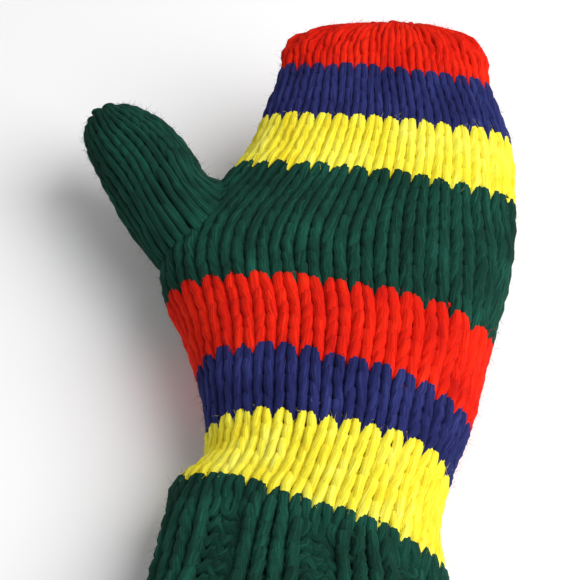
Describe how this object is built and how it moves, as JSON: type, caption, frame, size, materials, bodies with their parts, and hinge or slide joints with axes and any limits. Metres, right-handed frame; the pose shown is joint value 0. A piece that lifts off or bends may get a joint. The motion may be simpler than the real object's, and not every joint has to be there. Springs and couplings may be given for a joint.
{
  "type": "knitted mitten",
  "caption": "Chunky hand-knitted mitten in coloured stripes, with a ribbed cuff, a single finger pocket and a separate thumb, in its worn shape.",
  "frame": {"origin": "middle of the cuff's mouth, on the flattened underside that the mitten lies on", "axes": "+Y from the cuff to the fingertips, +Z out of the palm, -X towards the thumb"},
  "size_m": [0.1492, 0.2435, 0.0682],
  "materials": {
    "green_yarn": "soft brushed wool-like yarn, matt with a slight halo",
    "blue_yarn": "soft brushed wool-like yarn, matt with a slight halo",
    "red_yarn": "soft brushed wool-like yarn, matt with a slight halo",
    "yellow_yarn": "soft brushed wool-like yarn, matt with a slight halo"
  },
  "bodies": {
    "cuff": {"cast_on_edge": "green_yarn", "ribbed_cuff": "green_yarn", "lower_yellow_stripe": "yellow_yarn", "cast_on_tail": "green_yarn", "cuff_yarn_end": "green_yarn"},
    "palm": {"lower_blue_stripe": "blue_yarn", "lower_red_stripe": "red_yarn", "palm_green_band": "green_yarn", "thumb_pickup_seam": "green_yarn", "blue_yarn_end": "blue_yarn", "red_yarn_end": "red_yarn", "green_yarn_end": "green_yarn"},
    "fingers": {"upper_yellow_stripe": "yellow_yarn", "upper_blue_stripe": "blue_yarn", "red_crown": "red_yarn", "crown_gather_yarn": "red_yarn", "finger_blue_yarn_end": "blue_yarn", "crown_yarn_end": "red_yarn"},
    "thumb": {"thumb_gusset": "green_yarn", "thumb_tube": "green_yarn", "thumb_tip": "green_yarn", "thumb_gather_yarn": "green_yarn", "thumb_yarn_end": "green_yarn"}
  },
  "joints": [
    {"name": "wrist_bend", "type": "hinge", "parent": "cuff", "child": "palm", "pos_m": [0, 0.0755, 0.012], "axis": [1, 0, 0], "range_deg": [0, 35], "deforming": ["lower_yellow_stripe"]},
    {"name": "finger_bend", "type": "hinge", "parent": "palm", "child": "fingers", "pos_m": [0, 0.196, 0.046], "axis": [1, 0, 0], "range_deg": [-20, 40], "deforming": ["upper_yellow_stripe"]},
    {"name": "thumb_fold", "type": "hinge", "parent": "palm", "child": "thumb", "pos_m": [-0.0555, 0.168, 0.03], "axis": [0.6429, 0.7659, 0], "range_deg": [-15, 30], "deforming": ["thumb_gusset"]}
  ]
}
